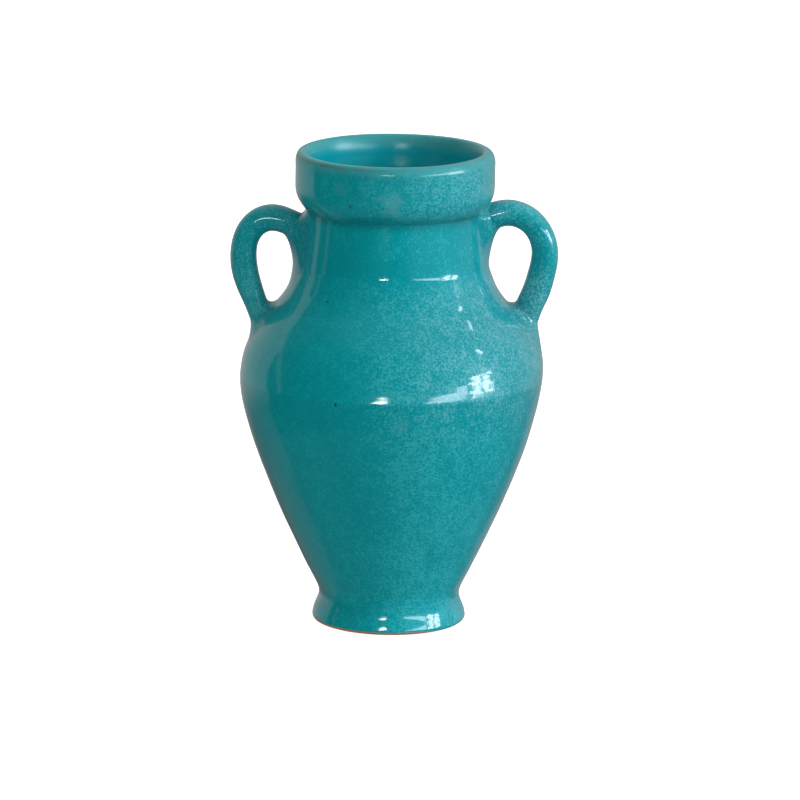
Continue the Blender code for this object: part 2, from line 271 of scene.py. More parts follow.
for z in seq(167.0, 224.0, 0.85)[1:]:
    add_row(wall(TH, z), z, "skin")
for z in seq(224.0, NECK_Z, 0.45)[1:]:
    add_row(wall(TH, z), z, "skin")
MARK["neck"] = len(rows) - 1
for z in seq(NECK_Z, 238.0, 0.45)[1:]:
    add_row(wall(TH, z), z, "skin")
for z in seq(238.0, 258.0, 0.85)[1:]:
    add_row(wall(TH, z), z, "skin")
for z in seq(258.0, CREASE_Z, 0.35)[1:]:
    add_row(wall(TH, z), z, "skin")
MARK["crease"] = len(rows) - 1
for z in seq(CREASE_Z, 270.0, 0.35)[1:]:
    add_row(wall(TH, z), z, "skin")
for z in seq(270.0, LIP_BASE, 0.8)[1:]:
    add_row(wall(TH, z), z, "skin")
# rolled lip: an outer and an inner quarter that meet on the crown, with a slightly uneven crown
crown = TOP + 0.10 + 0.50 * np.cos(TH) + 0.90 * np.sin(TH) + 0.10 * np.cos(2 * TH + 0.7) + 0.05 * np.cos(5 * TH + 2.1)
mid_r = 0.5 * (LIP_OUT + LIP_IN) + 0.15
for a in np.radians(np.arange(6, 90, 6)):
    c, s = math.cos(a) ** 0.80, math.sin(a)
    start = wall(TH, LIP_BASE)
    add_row(mid_r + (start - mid_r) * c, LIP_BASE + (crown - LIP_BASE) * s, "skin")
for a in np.radians(np.arange(90, -1, -6)):
    c, s = math.cos(a) ** 0.70 if a < 1.57 else 0.0, math.sin(a)
    add_row(mid_r + (LIP_IN - mid_r) * c, LIP_IN_BASE + (crown - LIP_IN_BASE) * s, "inner")
lip_end = len(rows) - 1


def inner_row(z):
    swell = (0.03 + 0.13 * (1 - smoothstep(z, 235, 262))) * np.cos(2 * math.pi * z / 6.5 + TH) + 0.2 * hand(TH, z)
    add_row(inside(z) + swell * (1 - smoothstep(z, 278, 287)), z, "inner")


for z in seq(LIP_IN_BASE, 268.5, 1.2)[1:]:
    inner_row(z)
MARK["in_collar"] = len(rows) - 1
for z in seq(268.5, 234.0, 1.6)[1:]:
    inner_row(z)
MARK["in_neck"] = len(rows) - 1
for z in seq(234.0, 160.0, 1.9)[1:]:
    inner_row(z)
MARK["in_shoulder"] = len(rows) - 1
for z in seq(160.0, 26.0, 2.2)[1:]:
    inner_row(z)
for r, z in ((39.2, 23.8), (37.4, 21.8), (35.0, 20.1), (32.0, 18.8), (28.5, 17.9), (24.0, 17.4),
             (19.0, 17.2), (13.0, 17.1), (7.0, 17.05), (2.5, 17.0), (1e-4, 17.0)):
    add_row(r, z, "inner")

GRID = np.array(rows)
down = np.roll(GRID, -1, 0)
upw = np.roll(GRID, 1, 0)
down[-1], upw[0] = GRID[-1], GRID[0]
along_rows = down - upw
round_rows = np.roll(GRID, -1, 1) - np.roll(GRID, 1, 1)
NORM = np.cross(round_rows, along_rows)
length = np.linalg.norm(NORM, axis=2, keepdims=True)
NORM = np.where(length > 1e-9, NORM / np.maximum(length, 1e-9), 0.0)
NORM[0], NORM[-1] = (0, 0, -1), (0, 0, 1)


# ------------------------------------------------------------------ skin attributes for the glaze
def skin_facts(points, normals):
    """thin: glaze worn or run off an edge, pool: glaze gathered in a hollow, darkened further as painted shade in the
    crease under the collar, bare: no glaze.
    """
    x, y, z = points[:, 0], points[:, 1], points[:, 2]
    theta = np.arctan2(y, x)
    r = np.hypot(x, y)
    left_front = 0.5 - 0.5 * np.cos(theta - math.radians(45.0))       # 1 towards -X -Y
    lip = np.exp(-0.5 * ((r - 61.8) / 1.3) ** 2) * np.exp(-0.5 * ((z - 297.6) / 1.5) ** 2) * (0.05 + 0.80 * left_front ** 3)
    lip_in = np.exp(-0.5 * ((r - 55.5) / 1.4) ** 2) * (z > 294) * 0.55 * np.exp(-0.5 * (theta / 0.6) ** 2)
    under = 0.55 * np.exp(-0.5 * ((z - CREASE_Z) / 1.0) ** 2) * (r > 52) * np.exp(-0.5 * ((theta + 0.75) / 0.22) ** 2)
    thin = np.clip(lip + lip_in + under, 0, 1)
    # glaze gathered in hollows, darkened further as painted shade in the crease under the collar, and a little at the
    # foot's waist
    pool_and_shade = 0.95 * np.exp(-0.5 * ((z - (CREASE_Z - 0.6)) / 2.2) ** 2) * (r > 52) \
        + 0.12 * np.exp(-0.5 * ((z - 15.0) / 2.2) ** 2) * (r > 43)
    # painted sky reflection: greyer on the rolled lip, which faces up, where the glaze is also thinner
    edge_sheen = np.exp(-0.5 * (np.maximum(0.0, 297.6 - z) / 2.6) ** 2) * (r > 50)
    foot = (1 - smoothstep(z, 0.7, 2.9)) * (r < 55) * (0.10 + 0.95 * smoothstep(left_front, 0.35, 0.8))
    inside_r = np.interp(z, _ig, _ir)
    # the inside of the pot; the glaze uses it to darken the interior as painted shade
    clear = ((r < inside_r + 2.0) & (z > 16.5) & (z < 298.6)).astype(float)
    return thin, np.clip(pool_and_shade, 0, 1), edge_sheen, np.clip(foot, 0, 1), clear


def finish_mesh(name, verts, faces, loop_normals, attributes, body="root", nodes=()):
    mesh = bpy.data.meshes.new(name)
    mesh.from_pydata((verts * MM).tolist(), [], faces)
    mesh.polygons.foreach_set("use_smooth", np.ones(len(faces), bool))
    for key, values in attributes.items():
        layer = mesh.attributes.new(key, "FLOAT", "POINT")
        layer.data.foreach_set("value", np.asarray(values, np.float32))
    mesh.update()
    mesh.normals_split_custom_set(loop_normals)
    ob = bpy.data.objects.new(name, mesh)
    bpy.context.scene.collection.objects.link(ob)
    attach(ob, body)
    if nodes:
        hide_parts(*nodes)
    return ob


def ring_piece(name, node, chain):
    """A closed shell from a chain of (row points, row normals or None, smooth to next row)."""
    pts, nrm, smooth, bare = [], [], [], []
    for p, n, s, b in chain:
        pts.append(p)
        nrm.append(n)
        smooth.append(s)
        bare.append(b)
    open_chain = np.ptp(pts[0][:, 0]) < 1e-2 and np.ptp(pts[-1][:, 0]) < 1e-2
    verts, index, facts_n = [], [], []
    base = 0
    for p, n in zip(pts, nrm):
        if open_chain and np.ptp(p[:, 0]) < 1e-2:
            verts.append(np.array([[0.0, 0.0, p[0, 2]]]))
            index.append(np.full(COLS, base))
            base += 1
        else:
            verts.append(p)
            index.append(base + np.arange(COLS))
            base += COLS
    verts = np.concatenate(verts)
    faces, normals = [], []
    count = len(pts)
    pairs = [(i, i + 1) for i in range(count - 1)] + ([] if open_chain else [(count - 1, 0)])
    nxt = np.roll(np.arange(COLS), -1)
    for i, k in pairs:
        a, b, c, d = index[i], index[i][nxt], index[k][nxt], index[k]
        flat = np.cross(pts[i][nxt] - pts[i], pts[k] - pts[i]) + np.cross(pts[k] - pts[k][nxt], pts[i][nxt] - pts[k][nxt])
        flat = flat / np.maximum(np.linalg.norm(flat, axis=1, keepdims=True), 1e-12)
        use = smooth[i] and nrm[i] is not None and nrm[k] is not None
        for j in range(COLS):
            corner = [a[j], b[j], c[j], d[j]]
            if use:
                cn = [nrm[i][j], nrm[i][nxt[j]], nrm[k][nxt[j]], nrm[k][j]]
            else:
                cn = [flat[j]] * 4
            if a[j] == b[j]:
                corner, cn = corner[1:], cn[1:]
            elif c[j] == d[j]:
                corner, cn = corner[:3], cn[:3]
            faces.append([int(v) for v in corner])
            normals.extend(cn)
    thin, pool_and_shade, edge_sheen, foot, clear = skin_facts(verts, None)
    bare_v = np.zeros(len(verts))
    for idx, b in zip(index, bare):
        bare_v[np.unique(idx)] = b
    thin = thin * (1 - bare_v)
    bare_v = np.maximum(bare_v, foot)
    return finish_mesh(name, verts, faces, [tuple(n) for n in normals],
                       {"thin": thin, "pool_and_shade": pool_and_shade, "bare": bare_v, "edge_sheen": edge_sheen, "clear": clear}, nodes=(node,))


def skin(i0, i1):
    """Rows i0..i1 of the skin as chain entries, smooth between them."""
    out = []
    for i in range(i0, i1 + 1):
        out.append([GRID[i], NORM[i], i < i1, 1.0 if row_kind[i] == "bare" else 0.0])
    return out


def level(r, z):
    r = np.broadcast_to(np.asarray(r, float), TH.shape)
    z = np.broadcast_to(np.asarray(z, float), TH.shape)
    return [np.stack([r * np.cos(TH), r * np.sin(TH), z], 1), None, False, 1.0]


def seam(outer_i, inner_i):
    """The stepped joint face inside the wall between an outer row and an inner row."""
    zo, zi = GRID[outer_i][0, 2], GRID[inner_i][0, 2]
    mid = 0.5 * (np.hypot(GRID[outer_i][:, 0], GRID[outer_i][:, 1]).mean()
                 + np.hypot(GRID[inner_i][:, 0], GRID[inner_i][:, 1]).mean())
    return [level(mid, zo), level(mid, zi)]


last = len(rows) - 1
seat = [level(36.65, SEAT), level(36.65, 12.0)]
pieces = {}
pieces["foot_ring"] = ring_piece("vase_foot_ring", "foot_ring",
                                 skin(MARK["under_end"], MARK["waist"]) + list(reversed(seat)))
pieces["lower_body"] = ring_piece("vase_lower_body", "lower_body",
                                  skin(0, MARK["under_end"]) + seat + skin(MARK["waist"], MARK["belly"])
                                  + seam(MARK["belly"], MARK["in_shoulder"]) + skin(MARK["in_shoulder"], last))
pieces["shoulder"] = ring_piece("vase_shoulder", "shoulder",
                                skin(MARK["belly"], MARK["neck"]) + seam(MARK["neck"], MARK["in_neck"])
                                + skin(MARK["in_neck"], MARK["in_shoulder"])
                                + list(reversed(seam(MARK["belly"], MARK["in_shoulder"]))))
pieces["neck"] = ring_piece("vase_neck", "neck",
                            skin(MARK["neck"], MARK["crease"]) + seam(MARK["crease"], MARK["in_collar"])
                            + skin(MARK["in_collar"], MARK["in_neck"])
                            + list(reversed(seam(MARK["neck"], MARK["in_neck"]))))
pieces["rim_collar"] = ring_piece("vase_rim_collar", "rim_collar",
                                  skin(MARK["crease"], MARK["in_collar"])
                                  + list(reversed(seam(MARK["crease"], MARK["in_collar"]))))


# ------------------------------------------------------------------ the pulled handles
SIDES, MID_RINGS, FILLET = 72, 84, 18


def wall_xyz(theta, z, h):
    """Point h mm (radially) above the skin; the crease and ridges fade out of it as h grows."""
    fine, soft = wall(theta, z), wall(theta, z, True)
    keep = 1 - smoothstep(h, 0.0, 3.0)
    r = soft + h + (fine - soft) * keep
    return np.stack([r * np.cos(theta), r * np.sin(theta), z], -1)


def wall_normal(theta, z):
    e = 0.2
    dz = (wall(theta, z + e) - wall(theta, z - e)) / (2 * e)
    dt = (wall(theta + 1e-3, z) - wall(theta - 1e-3, z)) / 2e-3
    r = wall(theta, z)
    n = np.stack([np.cos(theta) + dt / r * np.sin(theta), np.sin(theta) - dt / r * np.cos(theta), -dz], -1)
    return n / np.linalg.norm(n, axis=-1, keepdims=True)


def handle_piece(name, node, sign, spec):
    nodes_xz = np.array(spec["path"], float)
    chord = np.concatenate([[0], np.cumsum(np.linalg.norm(np.diff(nodes_xz, axis=0), axis=1))])
    fx, fz = natural_spline(chord, nodes_xz[:, 0]), natural_spline(chord, nodes_xz[:, 1])
    fa = natural_spline([chord[0], *np.interp(spec["a_at"], [0, 1], [0, chord[-1]]), chord[-1]],
                        [spec["a"][0], *spec["a"], spec["a"][-1]])
    fb = natural_spline([chord[0], *np.interp(spec["a_at"], [0, 1], [0, chord[-1]]), chord[-1]],
                        [spec["b"][0], *spec["b"], spec["b"][-1]])
    phi = 2 * np.pi * np.arange(SIDES) / SIDES
    wob = [(rng.uniform(0.03, 0.09), int(rng.integers(1, 4)), 2 * math.pi / rng.uniform(18, 45), rng.uniform(0, 6.28)) for _ in range(6)]

    def tube(t, ph):
        """Point of the unflared handle; ph = 0 on the outside of the loop, pi facing the hole."""
        x, dx = fx(t)
        z, dz = fz(t)
        l = np.hypot(dx, dz)
        nx, nz = -dz / l, dx / l                    # outward of the loop
        a, b = fa(t)[0], fb(t)[0]
        swell = sum(w * np.cos(n * ph + m * t + p) for w, n, m, p in wob)
        c, s = np.cos(ph), np.sin(ph)
        k = (np.abs(c) ** 2.3 + np.abs(s) ** 2.3) ** (-1 / 2.3)
        rad_a, rad_b = (a + swell) * k, (b + swell) * k
        return np.stack([sign * (x + nx * rad_a * c), rad_b * s + spec["drift"] * np.sin(np.pi * t / chord[-1]),
                         z + nz * rad_a * c], -1)

    def clear(t, ph):
        p = tube(t, ph)
        return np.hypot(p[..., 0], p[..., 1]) - wall(np.arctan2(p[..., 1], p[..., 0]), p[..., 2])

    fine_t = np.linspace(0, chord[-1], 1400)
    mid_t = 0.5 * chord[-1]
    field = np.array([clear(fine_t, np.full_like(fine_t, p)) for p in phi])      # (SIDES, T)
    mid_i = int(np.argmin(np.abs(fine_t - mid_t)))
    hit_top, hit_low = np.zeros(SIDES), np.zeros(SIDES)
    for k in range(SIDES):
        below = np.where(field[k, :mid_i] < 0)[0]
        hit_top[k] = fine_t[below[-1]] if len(below) else 0.0
        below = np.where(field[k, mid_i:] < 0)[0]
        hit_low[k] = fine_t[mid_i + below[0]] if len(below) else chord[-1]

    def ring_smooth(v, times):
        for _ in range(times):
            v = 0.25 * np.roll(v, 1) + 0.5 * v + 0.25 * np.roll(v, -1)
        return v

    hit_top, hit_low = ring_smooth(hit_top, 3), ring_smooth(hit_low, 3)

    def by_side(spec4, power=1.0):
        """A value round the tube from its values at the outer side, hole side and flanks."""
        out_v, hole_v, flank_v, sharp = spec4
        c = np.cos(phi)
        return np.where(c >= 0, flank_v + (out_v - flank_v) * np.abs(c) ** 1.5,
                        flank_v + (hole_v - flank_v) * np.abs(c) ** sharp)

    def root(hit, outward_t, reach_tube, reach_wall, kappa):
        """Fillet lines from the tube down to the skin: arrays (SIDES, FILLET + 1, 3)."""
        l1, l2 = by_side(reach_tube), by_side(reach_wall)
        start_t = hit + outward_t * l1
        p_s, p_h = tube(start_t, phi), tube(hit, phi)
        centre = tube(hit, phi).mean(0)
        th_h, z_h = np.arctan2(p_h[:, 1], p_h[:, 0]), p_h[:, 2]
        n = wall_normal(th_h, z_h)
        x, dx = fx(hit)
        z, dz = fz(hit)
        l = np.hypot(dx, dz)
        radial = np.stack([sign * (-dz / l) * np.cos(phi), np.sin(phi), (dx / l) * np.cos(phi)], -1)
        m = radial - (radial * n).sum(1, keepdims=True) * n
        m = m / np.linalg.norm(m, axis=1, keepdims=True)
        q = p_h + m * l2[:, None]
        th_e, z_e = np.arctan2(q[:, 1], q[:, 0]), q[:, 2]
        if sign < 0:                                # keep angles continuous across +-pi
            th_h = np.where(th_h < 0, th_h + 2 * np.pi, th_h)
            th_e = np.where(th_e < 0, th_e + 2 * np.pi, th_e)
        z_e = ring_smooth(z_e, 2)
        th_e = ring_smooth(th_e, 2)

        def cyl(p):
            th = np.arctan2(p[:, 1], p[:, 0])
            if sign < 0:
                th = np.where(th < 0, th + 2 * np.pi, th)
            return np.stack([th, p[:, 2], np.hypot(p[:, 0], p[:, 1]) - wall(th, p[:, 2], True)], -1)

        k1, k2 = kappa
        c0 = cyl(p_s)
        c1 = cyl(p_s + (p_h - p_s) * k1)
        c3 = np.stack([th_e, z_e, np.zeros(SIDES)], -1)
        c2 = c3 + np.stack([th_h - th_e, z_h - z_e, np.zeros(SIDES)], -1) * k2
        u = np.linspace(0, 1, FILLET + 1)
        u = u[None, :, None]
        c = (1 - u) ** 3 * c0[:, None] + 3 * (1 - u) ** 2 * u * c1[:, None] + 3 * (1 - u) * u ** 2 * c2[:, None] + u ** 3 * c3[:, None]
        return start_t, wall_xyz(c[..., 0], c[..., 1], np.maximum(c[..., 2], 0.0)), (th_e, z_e)

    t_top, fil_top, end_top = root(hit_top, 1.0, spec["top_tube"], spec["top_wall"], spec["top_k"])
    t_low, fil_low, end_low = root(hit_low, -1.0, spec["low_tube"], spec["low_wall"], spec["low_k"])
    s = np.linspace(0, 1, MID_RINGS + 1)[None, :]
    t_mid = t_top[:, None] + (t_low - t_top)[:, None] * s
    mid = tube(t_mid, np.broadcast_to(phi[:, None], t_mid.shape))
    lines = np.concatenate([fil_top[:, ::-1], mid[:, 1:-1], fil_low], 1)           # (SIDES, K, 3)
    k_count = lines.shape[1]
    a = np.roll(lines, -1, 0) - np.roll(lines, 1, 0)
    b = np.empty_like(lines)
    b[:, 1:-1] = lines[:, 2:] - lines[:, :-2]
    b[:, 0], b[:, -1] = lines[:, 1] - lines[:, 0], lines[:, -1] - lines[:, -2]
    n = np.cross(a, b)
    n = n / np.maximum(np.linalg.norm(n, axis=2, keepdims=True), 1e-12)
    centre_line = lines.mean(0)
    if ((lines[:, k_count // 2] - centre_line[k_count // 2]) * n[:, k_count // 2]).sum() < 0:
        n = -n
        flip = True
    else:
        flip = False
    n_top, n_low = wall_normal(*end_top), wall_normal(*end_low)
    n[:, 0], n[:, -1] = n_top, n_low
    # skirt under the skin and a cap inside the wall, so the piece is closed
    skirt_top = lines[:, 0] - n_top * 1.2
    skirt_low = lines[:, -1] - n_low * 1.2
    cap_top = skirt_top.mean(0) - n_top.mean(0) * 0.2
    cap_low = skirt_low.mean(0) - n_low.mean(0) * 0.2
    verts = np.concatenate([lines.transpose(1, 0, 2).reshape(-1, 3), skirt_top, skirt_low, [cap_top], [cap_low]])
    vn = n.transpose(1, 0, 2).reshape(-1, 3)
    faces, normals = [], []
    body_n = k_count * SIDES

    def quad(i, j, k, l, smooth):
        order = [i, j, k, l] if flip else [l, k, j, i]
        faces.append(order)
        if smooth:
            normals.extend([tuple(vn[v]) for v in order])
        else:
            p = verts[order]
            f = np.cross(p[2] - p[0], p[3] - p[1]) if len(order) == 4 else np.cross(p[1] - p[0], p[2] - p[0])
            f = f / max(np.linalg.norm(f), 1e-12)
            normals.extend([tuple(f)] * len(order))

    for r in range(k_count - 1):
        for c in range(SIDES):
            d = (c + 1) % SIDES
            quad(r * SIDES + c, (r + 1) * SIDES + c, (r + 1) * SIDES + d, r * SIDES + d, True)
    st, sl = body_n, body_n + SIDES
    ct, cl = body_n + 2 * SIDES, body_n + 2 * SIDES + 1
    for c in range(SIDES):
        d = (c + 1) % SIDES
        quad(st + c, c, d, st + d, False)
        quad((k_count - 1) * SIDES + c, sl + c, sl + d, (k_count - 1) * SIDES + d, False)
        for tri in ([ct, st + c, st + d], [cl, sl + d, sl + c]):
            order = tri if flip else tri[::-1]
            faces.append(order)
            p = verts[order]
            f = np.cross(p[1] - p[0], p[2] - p[0])
            f = f / max(np.linalg.norm(f), 1e-12)
            normals.extend([tuple(f)] * 3)
    # glaze facts: worn along the outside of the loop near its top; gathered glaze with painted shade in the corners at
    # the roots; a painted reflection along the outside of the loop
    k_axis = np.linspace(0, 1, k_count)[:, None] * np.ones(SIDES)[None, :]
    ph_axis = np.ones(k_count)[:, None] * phi[None, :]
    outer_edge = np.exp(-0.5 * ((np.minimum(ph_axis, 2 * np.pi - ph_axis)) / 0.42) ** 2)
    thin = outer_edge * (0.30 * np.exp(-0.5 * ((k_axis - 0.25) / 0.16) ** 2) + 0.10)
    thin += spec["root_wear"][0] * np.exp(-0.5 * ((k_axis - 0.13) / 0.035) ** 2) * outer_edge
    hole_side = np.exp(-0.5 * ((np.abs(ph_axis - np.pi)) / 0.5) ** 2)
    thin += spec["root_wear"][1] * np.exp(-0.5 * ((k_axis - 0.90) / 0.03) ** 2) * hole_side
    fil = FILLET / k_count
    # painted shade with gathered glaze: darker in the corners where the handle meets the wall
    pool_and_shade = 0.55 * np.exp(-0.5 * ((k_axis - 0.45 * fil) / (0.35 * fil)) ** 2) * (1 - 0.6 * hole_side)
    pool_and_shade += 0.45 * np.exp(-0.5 * ((k_axis - 1 + 0.45 * fil) / (0.35 * fil)) ** 2)
    extra = np.zeros(2 * SIDES + 2)
    thin = np.concatenate([np.clip(thin, 0, 1).reshape(-1), extra])
    pool_and_shade = np.concatenate([np.clip(pool_and_shade, 0, 1).reshape(-1), extra])
    bare = np.concatenate([np.zeros(body_n), np.ones(2 * SIDES + 2)])
    # painted reflection: a paler band along the outside of the loop
    edge_sheen = np.concatenate([(0.45 * outer_edge).reshape(-1), extra])
    return finish_mesh(name, verts, faces, normals, {"thin": thin, "pool_and_shade": pool_and_shade, "bare": bare, "edge_sheen": edge_sheen, "clear": np.zeros(len(bare)), "grip": 1.0 - bare}, nodes=(node,))


LEFT = dict(
    path=[(46.0, 246.8), (54.0, 249.5), (62.0, 252.3), (69.0, 255.0), (76.3, 256.2), (83.6, 254.0), (89.4, 248.6), (92.7, 241.5),
          (93.75, 233.5), (93.2, 226.0), (91.5, 218.3), (89.0, 210.7), (86.1, 203.0), (83.1, 195.4), (79.2, 187.0), (73.6, 177.5), (67.0, 168.0)],
    a_at=[0.15, 0.3, 0.45, 0.6, 0.75, 0.9], a=[8.2, 8.1, 8.35, 7.9, 7.2, 7.4], b=[9.6, 9.2, 9.0, 9.0, 9.0, 9.6],
    drift=0.6,
    # outer side, hole side, flanks, and how narrow the hole-side web is
    top_tube=(2.0, 12.0, 8.0, 2.0), top_wall=(1.8, 32.0, 20.0, 2.2), top_k=(0.5, 0.37),
    low_tube=(7.0, 7.0, 6.5, 1.5), low_wall=(9.0, 8.5, 10.0, 1.5), low_k=(0.5, 0.45),
    root_wear=(0.9, 0.8),
)
RIGHT = dict(
    path=[(46.0, 253.2), (54.0, 256.3), (61.0, 259.0), (67.0, 261.0), (73.9, 261.6), (80.8, 259.6), (87.2, 255.1), (92.0, 248.8),
          (94.4, 241.5), (94.85, 234.5), (94.2, 227.5), (92.5, 220.0), (90.0, 212.3), (86.9, 204.6), (83.7, 196.5), (80.2, 187.5), (75.5, 177.5), (68.5, 166.0)],
    a_at=[0.15, 0.3, 0.45, 0.6, 0.75, 0.9], a=[8.2, 8.0, 8.3, 8.7, 8.6, 8.4], b=[9.6, 9.2, 9.2, 9.3, 9.3, 9.8],
    drift=-0.5,
    top_tube=(2.0, 12.0, 6.0, 2.0), top_wall=(1.8, 26.0, 12.5, 2.2), top_k=(0.5, 0.37),
    low_tube=(8.0, 6.5, 6.5, 1.5), low_wall=(17.0, 8.0, 10.0, 1.5), low_k=(0.45, 0.4),
    root_wear=(0.45, 0.2),
)
pieces["handle_left"] = handle_piece("vase_handle_left", "handle_left", -1.0, LEFT)
pieces["handle_right"] = handle_piece("vase_handle_right", "handle_right", 1.0, RIGHT)


# ------------------------------------------------------------------ materials
class Tree:
    """Small helper that keeps the node building readable."""

    def __init__(self, name):
        self.mat = bpy.data.materials.new(name)
        self.mat.use_nodes = True
        self.nt = self.mat.node_tree
        self.bsdf = self.nt.nodes["Principled BSDF"]

    def node(self, kind, **settings):
        n = self.nt.nodes.new(kind)
        for key, value in settings.items():
            setattr(n, key, value)
        return n

    def put(self, node, key, value):
        socket = node.inputs[key]
        if hasattr(value, "is_output"):
            self.nt.links.new(value, socket)
        else:
            socket.default_value = value

    def coords(self):
        return self.node("ShaderNodeTexCoord").outputs["Object"]

    def noise(self, vector, scale, detail=2.0, rough=0.5, distortion=0.0):
        n = self.node("ShaderNodeTexNoise")
        self.put(n, "Vector", vector)
        self.put(n, "Scale", scale)
        self.put(n, "Detail", detail)
        self.put(n, "Roughness", rough)
        self.put(n, "Distortion", distortion)
        return n.outputs["Fac"]

    def voronoi(self, vector, scale, feature="F1", output="Distance", randomness=1.0):
        n = self.node("ShaderNodeTexVoronoi", feature=feature)
        self.put(n, "Vector", vector)
        self.put(n, "Scale", scale)
        self.put(n, "Randomness", randomness)
        return n.outputs[output]

    def math(self, op, a, b=0.0, clamp=False):
        n = self.node("ShaderNodeMath", operation=op, use_clamp=clamp)
        self.put(n, 0, a)
        self.put(n, 1, b)
        return n.outputs[0]

    def ramp(self, value, lo, hi, out_lo=0.0, out_hi=1.0, smooth=True):
        n = self.node("ShaderNodeMapRange", interpolation_type="SMOOTHSTEP" if smooth else "LINEAR")
        self.put(n, "Value", value)
        self.put(n, "From Min", lo)
        self.put(n, "From Max", hi)
        self.put(n, "To Min", out_lo)
        self.put(n, "To Max", out_hi)
        return n.outputs["Result"]

    def mix(self, fac, a, b, blend="MIX"):
        n = self.node("ShaderNodeMix", data_type="RGBA", blend_type=blend)
        self.put(n, 0, fac)
        self.put(n, 6, a)
        self.put(n, 7, b)
        return n.outputs[2]

    def stretch(self, vector, scale):
        n = self.node("ShaderNodeMapping")
        self.put(n, "Vector", vector)
        self.put(n, "Scale", scale)
        return n.outputs["Vector"]

    def attribute(self, name):
        return self.node("ShaderNodeAttribute", attribute_name=name).outputs["Fac"]

    def bump(self, height, distance, strength=1.0, normal=None):
        n = self.node("ShaderNodeBump")
        self.put(n, "Height", height)
        self.put(n, "Distance", distance)
        self.put(n, "Strength", strength)
        if normal is not None:
            self.put(n, "Normal", normal)
        return n.outputs["Normal"]


def srgb(r, g, b):
    def lin(c):
        c = c / 255.0
        return c / 12.92 if c <= 0.04045 else ((c + 0.055) / 1.055) ** 2.4
    return (lin(r), lin(g), lin(b), 1.0)


